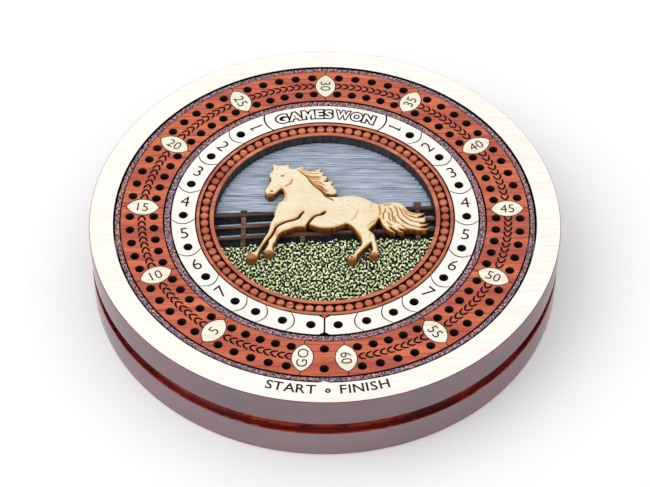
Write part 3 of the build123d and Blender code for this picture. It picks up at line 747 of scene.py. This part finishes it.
beadLook = {"count": 78, "radius": 1.98, "height": 1.7, "round": 0.2, "dimple": 0.1, "circle": 65.0,
            "floorDrop": 1.8, "innerRail": 62.15, "outerRail": 67.75, "lip": 0.15,
            "toothWidth": 4.4, "toothReach": 1.9}


def makeBeads():
    inner, outer = wellRadius, gamesInner - 0.8 * mm
    floor = lidTop - beadLook["floorDrop"] * mm
    lip = beadLook["lip"] * mm
    railIn = beadLook["innerRail"] * mm
    railOut = beadLook["outerRail"] * mm
    profile = [(inner, coreTop), (inner, lidTop - lip), (inner + lip, lidTop), (railIn - lip, lidTop),
               (railIn, lidTop - lip), (railIn + 0.1 * mm, floor), (railOut - 0.1 * mm, floor),
               (railOut, lidTop - lip), (railOut + lip, lidTop), (outer - lip, lidTop), (outer, lidTop - lip),
               (outer, coreTop)]
    ring = turned(profile, 360, "beadRing")
    setMaterials(ring, ringWood, burnt, blackened, wellWall)
    for face in ring.data.polygons:
        low = face.center.z < lidTop - 1.5 * lip
        radius = math.hypot(face.center.x, face.center.y)
        if low:
            face.material_index = 2 if abs(face.center.z - floor) < 0.1 * mm else 1
            if radius < inner + 0.01 * mm:
                face.material_index = 3
    smooth(ring, 30)
    half = beadLook["toothWidth"] * mm / 2
    root, tip = -outer + 0.3 * mm, -outer - beadLook["toothReach"] * mm
    tooth = outlineSolid([[(-half, root), (half, root), (0, tip)]], coreTop, lidTop, "seamTooth")
    setMaterials(tooth, ringWood, burnt)
    burnSides(tooth)
    place(ring, "lid", "bloodwood", "bead_ring")
    place(tooth, "lid", "bloodwood")

    deselectAll()
    height = beadLook["height"] * mm
    bpy.ops.mesh.primitive_cylinder_add(vertices=20, radius=beadLook["radius"] * mm, depth=height,
                                        location=(0, 0, height / 2))
    bead = bpy.context.object
    bpy.ops.object.transform_apply(location=True)
    bpy.ops.object.mode_set(mode="EDIT")
    bpy.ops.mesh.select_all(action="DESELECT")
    bpy.ops.object.mode_set(mode="OBJECT")
    top = max(bead.data.polygons, key=lambda face: face.center.z)
    top.select = True
    bpy.ops.object.mode_set(mode="EDIT")
    bpy.ops.mesh.bevel(offset=beadLook["round"] * mm, segments=3)
    bpy.ops.object.mode_set(mode="OBJECT")
    for face in bead.data.polygons:
        face.select = face.center.z > height - 1e-6 and face.normal.z > 0.99
    bpy.ops.object.mode_set(mode="EDIT")
    bpy.ops.mesh.inset(thickness=0.3 * mm)
    bpy.ops.mesh.inset(thickness=0.35 * mm, depth=-beadLook["dimple"] * mm)
    bpy.ops.object.mode_set(mode="OBJECT")
    for face in bead.data.polygons:
        face.material_index = 1 if face.select else 0
        if abs(face.normal.z) < 0.2:
            face.material_index = 2
    beads = [bead]
    for _ in range(1, beadLook["count"]):
        copy = bead.copy()
        copy.data = bead.data.copy()
        bpy.context.collection.objects.link(copy)
        beads.append(copy)
    for index, piece in enumerate(beads):
        angle = 360 * index / beadLook["count"]
        x, y = polar(beadLook["circle"] * mm, angle)
        piece.location = (x, y, floor)
        piece.rotation_euler = (0, 0, math.radians(angle))
    strand = joinPieces(beads, "beadStrand")
    bpy.ops.object.transform_apply(location=True, rotation=True, scale=True)
    setMaterials(strand, ringWood, beadFace, burnt)
    smooth(strand, 20)
    place(strand, "lid", "bloodwood", "bead_strand")
    print("beads done")


# ---- picture

def texturedPanel(node, name, cellX, cellY, heightAt, material):
    low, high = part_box(node)
    keep = cadCopy(node, "keep")
    for vertex in keep.data.vertices:  # the cutting shape reaches past the panel above and below
        vertex.co.z += 2 * mm if vertex.co.z > (low.z + high.z) / 2 else -2 * mm
    width, depth = high.x - low.x, high.y - low.y
    deselectAll()
    bpy.ops.mesh.primitive_grid_add(x_subdivisions=round(width / cellX), y_subdivisions=round(depth / cellY),
                                    size=1, location=((low.x + high.x) / 2, (low.y + high.y) / 2, high.z))
    panel = bpy.context.object
    panel.scale = (width * 1.01, depth * 1.01, 1)
    bpy.ops.object.transform_apply(location=True, rotation=True, scale=True)
    bpy.ops.object.mode_set(mode="EDIT")
    bpy.ops.mesh.select_all(action="SELECT")
    bpy.ops.mesh.extrude_region_move(TRANSFORM_OT_translate={"value": (0, 0, low.z - high.z)})
    bpy.ops.mesh.select_all(action="SELECT")
    bpy.ops.mesh.normals_make_consistent(inside=False)
    bpy.ops.object.mode_set(mode="OBJECT")
    panel.name = name
    liftTop(panel, heightAt)
    setMaterials(keep, blackened)
    setMaterials(panel, material, blackened)
    cut(panel, keep, "INTERSECT")
    smooth(panel, 70)
    return panel


def skyHeight(x, y):
    row = noise.noise(Vector((x * 6, y * 1400, 3))) * 0.6 + noise.noise(Vector((x * 25, y * 3300, 5))) * 0.4
    return 0.5 + row * 0.6, row * 0.16 * mm - 0.1 * mm


def grassHeight(x, y):
    blade = noise.noise(Vector((x / 0.95, y / 1.4, 0)) / mm) * 0.95
    blade += noise.noise(Vector((x / 0.55, y / 0.8, 7)) / mm) * 0.4
    return 0.5 + blade * 0.6, blade * 0.55 * mm - 0.1 * mm


paintedRailHighlights = {  # painted highlight: pale strips standing for the lit upper edges of the rails
    "width": 0.95, "rise": 0.12,
    "lines": (((-57.5, -2.75), (-45.4, -1.65)), ((-42.4, -0.95), (-24.0, 0.75)),
              ((53.5, 4.7), (58.5, 4.9)), ((-56.4, -10.55), (-45.4, -9.6)),
              ((-42.4, -9.15), (-32.0, -8.25)), ((55.5, -2.9), (58.5, -2.7))),
}


def makePicture():
    skyPanel = texturedPanel("sky_panel", "skyPanel", 2.0 * mm, 0.2 * mm, skyHeight, sky)
    place(skyPanel, "lid", "sky_stained_wood", "sky_panel")
    grassPanel = texturedPanel("grass_panel", "grassPanel", 0.36 * mm, 0.36 * mm, grassHeight, grass)
    place(grassPanel, "lid", "grass_stained_wood", "grass_panel")
    fence = cadCopy("fence", "fence")
    fence.modifiers.new("softEdges", "BEVEL").width = 0.18 * mm
    fence.modifiers["softEdges"].segments = 2
    applyAll(fence)
    setMaterials(fence, fenceWood)
    place(fence, "lid", "fence_wood", "fence")
    # pale strips along the rails' upper edges: a painted highlight, not separate wooden caps
    strips = []
    half = paintedRailHighlights["width"] * mm / 2
    for (x0, y0), (x1, y1) in paintedRailHighlights["lines"]:
        strips.append([(x0 * mm, y0 * mm - half), (x1 * mm, y1 * mm - half), (x1 * mm, y1 * mm + half),
                       (x0 * mm, y0 * mm + half)])
    highlightStrips = outlineSolid(strips, skyTop - 0.3 * mm, skyTop + paintedRailHighlights["rise"] * mm, "paintedRailHighlights")
    setMaterials(highlightStrips, railHighlightMaterial)
    place(highlightStrips, "lid", "fence_wood")
    print("picture done")


# ---- horse relief

horseLook = {"cell": 0.34, "round": 1.4, "drop": 0.75, "crown": 0.55, "crownReach": 4.5}

maneRoot = ((-15.7, 34.4), (-12.5, 31.7), (-9.9, 28.8), (-8.0, 25.2), (-6.1, 22.3), (-2.8, 19.1),
            (-0.3, 16.5))

# carved lines: points, depth, half width, burn
horseLines = (
    (((-22.5, 21.4), (-20.6, 22.6), (-19.0, 23.6), (-18.0, 25.9), (-18.2, 27.8)), 0.45, 0.5, 0.50),  # cheek
    (((-26.4, 23.6), (-24.6, 22.4), (-22.9, 21.4)), 0.15, 0.6, 0.12),
    (((-21.5, 19.4), (-21.1, 13.0), (-21.1, 10.4)), 0.12, 0.35, 0.34),  # neck crease
    (((-31.4, 15.8), (-30.2, 16.4), (-28.6, 15.8), (-27.4, 16.8)), 0.25, 0.3, 0.7),  # mouth
    (maneRoot, 0.45, 0.4, 0.7),
    (((29.2, 8.9), (29.7, 6.1), (29.9, 2.8), (29.4, 0.6)), 0.5, 0.55, 0.45),  # root of the tail
    (((18.1, 5.0), (17.4, 2.1), (16.1, -0.8), (13.9, -3.0)), 0.40, 0.55, 0.24),  # flank
    (((21.0, 4.7), (20.6, 2.5)), 0.12, 0.5, 0.10),
    (((25.6, 9.6), (24.9, 7.4), (24.6, 5.6)), 0.15, 0.4, 0.22),  # rump
    (((27.4, -2.1), (24.8, -4.6), (22.6, -7.2)), 0.25, 0.5, 0.35),  # back of the thigh
    (((24.2, -11.7), (24.2, -14.0), (23.7, -15.6)), 0.15, 0.4, 0.30),
    (((17.6, -9.6), (19.4, -13.0), (18.9, -15.8)), 0.15, 0.4, 0.25),
    (((-26.0, -4.9), (-27.0, -6.8)), 0.2, 0.5, 0.35),
    (((-27.9, -10.4), (-28.9, -12.6)), 0.15, 0.4, 0.30),
    (((-25.0, -9.4), (-26.6, -14.3)), 0.2, 0.4, 0.35),
    (((-16.5, 2.0), (-13.5, 3.6), (-11.0, 6.4)), 0.22, 0.9, 0.10),  # shoulder
    (((-26.6, 34.0), (-25.9, 36.0)), 0.2, 0.35, 0.3),  # ear
)
tailStrands = (
    ((32.2, 6.4), (32.8, 4.4), (31.5, 1.9), (31.4, -0.6), (31.9, -2.2)),
    ((33.9, 7.2), (35.6, 5.3), (36.4, 3.1), (36.3, 0.6), (36.6, -2.4), (38.0, -5.2)),
    ((34.4, 3.6), (34.6, 1.1), (34.6, -1.1), (35.6, -3.6)),
    ((37.5, 0.6), (37.5, -1.4), (38.3, -3.6), (40.6, -5.3)),
    ((36.9, 8.3), (38.3, 6.4), (39.2, 3.4), (39.4, 0.8), (40.6, -1.6), (43.2, -3.6)),
    ((39.4, 7.6), (41.2, 4.6), (42.0, 1.8), (43.6, -0.6), (46.4, -2.4)),
    ((42.8, 3.3), (44.2, 1.7), (46.1, 0.3), (49.0, -0.6)),
    ((41.6, 6.4), (43.6, 3.9), (45.6, 2.8), (47.8, 1.9), (50.6, 1.9)),
    ((41.1, -2.2), (42.2, -3.6), (44.6, -4.9)),
    ((31.4, 8.9), (33.4, 8.3), (36.0, 9.0)),
    ((33.0, -3.2), (34.4, -4.9), (36.6, -6.2)),
    ((44.0, 5.6), (46.6, 4.2), (49.6, 3.2), (52.6, 2.9)),
    ((46.1, 0.3), (49.4, -0.6), (53.5, -0.4)),
    ((44.5, -2.2), (48.5, -3.6), (54.0, -4.0)),
    ((42.5, -4.2), (46.5, -6.2), (51.0, -7.6), (54.6, -8.0)),
    ((40.6, -5.6), (43.5, -7.8), (47.0, -9.2)),
)
maneStrands = {"count": 15, "points": 7, "length": 9.0, "topTurn": 8, "bottomTurn": -46, "sway": 16,
               "depth": 0.5, "halfWidth": 0.3, "burn": 0.62}
horseSpots = (  # middle, reach, depth, burn
    ((-23.2, 29.5), (1.3, 0.75), 0.45, 0.85),  # eye
    ((-29.0, 18.4), (0.9, 0.7), 0.6, 1.0),  # nostril
    ((-22.0, 31.6), (1.6, 0.8), -0.3, 0.0),  # brow
    ((-20.8, 25.6), (2.4, 2.6), -0.3, 0.0),  # cheek
    ((-12.0, 8.0), (5.5, 6.0), -0.25, 0.0),  # shoulder
    ((22.5, 5.5), (5.0, 5.5), -0.25, 0.0),  # rump
    ((-29.6, 15.4), (2.6, 1.3), 0.1, 0.30),  # chin
    ((24.5, 3.5), (5.5, 7.0), 0.0, 0.06),  # thigh
)
slits = (  # sawn between the legs and behind the elbow
    ((-11.8, 3.2), (-13.2, 1.2), (-14.1, -0.6), (-16.0, -1.9), (-18.6, -2.9), (-20.8, -3.6), (-22.8, -4.7),
     (-25.0, -6.2), (-26.4, -8.0), (-27.3, -11.0), (-28.6, -13.8), (-30.3, -16.4)),
    ((0.0, 3.4), (-2.4, 1.6), (-4.8, 0.9), (-6.8, -1.0), (-8.2, -3.4), (-9.9, -6.5)),
)
hooves = (((-39.6, -30.4), 4.2), ((-29.8, -27.4), 3.5), ((14.5, -32.0), 4.0), ((26.3, -28.6), 3.4))


def alongRoot(share):
    reach = share * (len(maneRoot) - 1)
    index = min(int(reach), len(maneRoot) - 2)
    part = reach - index
    first, second = Vector(maneRoot[index]), Vector(maneRoot[index + 1])
    return first.lerp(second, part)


def maneLines():
    lines = []
    for index in range(maneStrands["count"]):
        share = (index + 0.5) / maneStrands["count"]
        place = alongRoot(share)
        turn = maneStrands["topTurn"] + (maneStrands["bottomTurn"] - maneStrands["topTurn"]) * share
        turn += random.uniform(-5, 5)
        points = [tuple(place)]
        step = maneStrands["length"] * random.uniform(0.8, 1.15) / (maneStrands["points"] - 1)
        for bend in range(1, maneStrands["points"]):
            sway = maneStrands["sway"] * math.sin(bend * 1.1 + index * 0.7)
            place = place + Vector(polar(step, turn + sway))
            points.append(tuple(place))
        lines.append((points, maneStrands["depth"], maneStrands["halfWidth"], maneStrands["burn"]))
    return lines


def lineDistance(places, points):  # distance from each place to a broken line, and how far along it is
    best = np.full(len(places), 1e9)
    share = np.zeros(len(places))
    for index in range(len(points) - 1):
        first, second = np.array(points[index]), np.array(points[index + 1])
        span = second - first
        part = np.clip((places - first) @ span / (span @ span), 0, 1)
        gap = np.linalg.norm(places - (first + part[:, None] * span), axis=1)
        closer = gap < best
        best[closer] = gap[closer]
        share[closer] = ((index + part) / (len(points) - 1))[closer]
    return best, share


def makeHorse():
    random.seed(5)
    horse = cadCopy("horse", "horseRelief")
    low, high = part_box("horse")[0].z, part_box("horse")[1].z
    remesh = horse.modifiers.new("even", "REMESH")
    remesh.mode = "VOXEL"
    remesh.voxel_size = horseLook["cell"] * mm
    applyAll(horse)
    data = horse.data
    points = np.zeros(len(data.vertices) * 3)
    data.vertices.foreach_get("co", points)
    points = points.reshape(-1, 3)
    flat = points[:, :2] / mm
    inside = (points[:, 2] > low + 1.5 * mm) & (points[:, 2] < high - 1.5 * mm)
    walls = kdtree.KDTree(int(inside.sum()))
    for index, (x, y) in enumerate(flat[inside]):
        walls.insert((x, y, 0), index)
    walls.balance()
    edge = np.array([walls.find((x, y, 0))[2] for x, y in flat])
    upper = points[:, 2] > high - 1.5 * mm

    rounding = np.clip(1 - edge / horseLook["round"], 0, 1) ** 2
    shape = horseLook["crown"] * (1 - np.exp(-edge / horseLook["crownReach"])) - horseLook["drop"] * rounding
    burn = 0.36 * np.exp(-(edge / 0.42) ** 2)
    lines = list(horseLines) + maneLines() + [(strand, 0.55, 0.33, 0.68) for strand in tailStrands]
    for line, depth, width, dark in lines:
        gap, share = lineDistance(flat, line)
        fade = np.clip(np.minimum(share, 1 - share) * 5 + 0.25, 0, 1)
        shape -= depth * fade * np.exp(-(gap / width) ** 2)
        burn += dark * fade * np.exp(-(gap / (width * 1.1)) ** 2)
    for (x, y), (wide, tall), depth, dark in horseSpots:
        gap = ((flat[:, 0] - x) / wide) ** 2 + ((flat[:, 1] - y) / tall) ** 2
        shape -= depth * np.exp(-gap)
        burn += dark * np.exp(-gap * 1.5)
    waves = np.array([noise.noise(Vector((x * 0.16, y * 0.4, 2))) for x, y in flat])
    shape += 0.12 * waves
    shape = np.minimum(shape, 0.6)
    blend = np.clip((points[:, 2] - high + 1.5 * mm) / (1.5 * mm), 0, 1)
    points[:, 2] += np.where(upper, shape * mm * blend, 0)
    bands = np.array([noise.noise(Vector((x * 1.3, y * 1.3, 4))) for x, y in flat])
    # cut walls are dark, and darker towards the bottom of the wall
    depthDown = np.clip((high - points[:, 2]) / (high - low), 0, 1)
    wallDarkening = 0.52 + 0.40 * depthDown + 0.36 * bands
    onWall = np.clip((0.35 - edge) / 0.2, 0, 1) * np.clip((high - 0.6 * mm - points[:, 2]) / (0.6 * mm), 0, 1)
    burn = burn * (1 - onWall) + wallDarkening * onWall
    for (x, y), reach in hooves:
        gap = np.hypot(flat[:, 0] - x, flat[:, 1] - y)
        share = np.clip((reach - gap) / 0.8, 0, 1)
        burn = np.where(share > 0, np.minimum(burn + 0.50 * share, 0.66), burn)
    for slit in slits:
        burn = np.maximum(burn, np.exp(-(lineDistance(flat, slit)[0] / 0.75) ** 2))
    data.vertices.foreach_set("co", points.ravel())
    attribute = data.attributes.new("burn", "FLOAT", "POINT")
    attribute.data.foreach_set("value", np.clip(burn, 0, 1).astype(np.float32))
    data.update()
    setMaterials(horse, horseWood)
    smooth(horse, 60)
    place(horse, "lid", "horse_wood", "horse")
    print("horse done", len(horse.data.polygons))


# ---- lacquered sides

sides = {"landRadius": 122.5, "landHeight": 7.3, "ledgeDrop": 0.2, "edgeRadius": 126, "arrisLow": 0.2,
         "arrisHigh": 0.97}


def makeSides():
    base = cadCopy("base_body", "baseBody")
    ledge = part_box("base_body")[1].z - sides["landHeight"] * mm
    setMaterials(base, lacqueredBaseBrightened, grooveWoodPaintedLight, redArrisPaintedReflection)
    for face in base.data.polygons:
        radius = math.hypot(face.center.x, face.center.y) / mm
        arris = sides["arrisLow"] < abs(face.normal.z) < sides["arrisHigh"]
        # faces in the groove take the lighter red: painted light caught under the lid's overhang
        if radius > sides["landRadius"] and face.center.z > ledge - sides["ledgeDrop"] * mm:
            face.material_index = 1
        # rounded outer edges take the lighter red: a painted reflection
        elif radius > sides["edgeRadius"] and arris:
            face.material_index = 2
    smooth(base, 30)
    place(base, "base", "lacquered_bloodwood", "base_body")
    band = cadCopy("lid_edge_band", "lidEdgeBand")
    setMaterials(band, lacquered, redArrisPaintedReflection, maple)
    for face in band.data.polygons:
        # flat top faces take the maple; the rounded edge below takes the lighter red, a painted reflection
        if face.normal.z > sides["arrisHigh"]:
            face.material_index = 2
        elif face.normal.z > sides["arrisLow"]:
            face.material_index = 1
    smooth(band, 30)
    place(band, "lid", "lacquered_bloodwood", "lid_edge_band")
    print("sides done")


makeSides()
makeRim()
makeTrack()
makeMarkers()
makeGames()
makePlaque()
makeChannels()
makeBeads()
makePicture()
makeHorse()

# CAD pieces that keep their own shape
finishes = {
    "lid_core": lacquered, "well_backer": blackened,
    "pivot_bushing": bronze, "pivot_washer": nylon, "pivot_bolt": zinc, "pivot_insert": brass,
    "base_magnets": nickel, "lid_magnets": nickel,
}
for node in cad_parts:
    if node.startswith("brass_peg"):
        finishes[node] = brass
    if node.startswith("steel_peg"):
        finishes[node] = steel
for node, material in finishes.items():
    setMaterials(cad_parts[node], material)

# ---- floor, light and camera

studio = {"floorSize": 30, "floorColour": (0.95, 0.95, 0.95), "worldStrength": 0.95,
          "keyPower": 9, "keySize": 1.4, "keyPlace": (-1.1, -0.25, 1.5)}
deselectAll()
bpy.ops.mesh.primitive_plane_add(size=studio["floorSize"], location=(0, 0, 0))
floor = bpy.context.object
floor.name = "floor"
paper = Nodes("floorPaper", 0.8)
paperTone = paper.ramp(paper.noise(paper.place, 5), (0.3, studio["floorColour"]),
                       (0.7, tuple(c * 1.02 for c in studio["floorColour"])))
setMaterials(floor, paper.colour(paperTone))

world = bpy.data.worlds.new("studio")
world.use_nodes = True
world.node_tree.nodes["Background"].inputs["Color"].default_value = (1, 1, 1, 1)
world.node_tree.nodes["Background"].inputs["Strength"].default_value = studio["worldStrength"]
bpy.context.scene.world = world
bpy.context.scene.view_settings.view_transform = "Standard"

deselectAll()
bpy.ops.object.light_add(type="AREA", location=studio["keyPlace"])
key = bpy.context.object
key.data.size = studio["keySize"]
key.data.energy = studio["keyPower"]
key.rotation_euler = (-Vector(studio["keyPlace"])).to_track_quat("-Z", "Y").to_euler()

view = {"place": (0.1, -857.1, 995.7), "target": (0.09, -20.11, 44.0), "lens": 131.54, "roll": 0.0042}
bpy.ops.object.camera_add(location=Vector(view["place"]) * mm)
camera = bpy.context.object
camera.data.lens = view["lens"]
camera.data.sensor_width = 36
camera.data.clip_end = 50
look = Vector(view["target"]) - Vector(view["place"])
camera.rotation_euler = look.to_track_quat("-Z", "Y").to_euler()
camera.rotation_euler.rotate_axis("Z", view["roll"])
bpy.context.scene.camera = camera
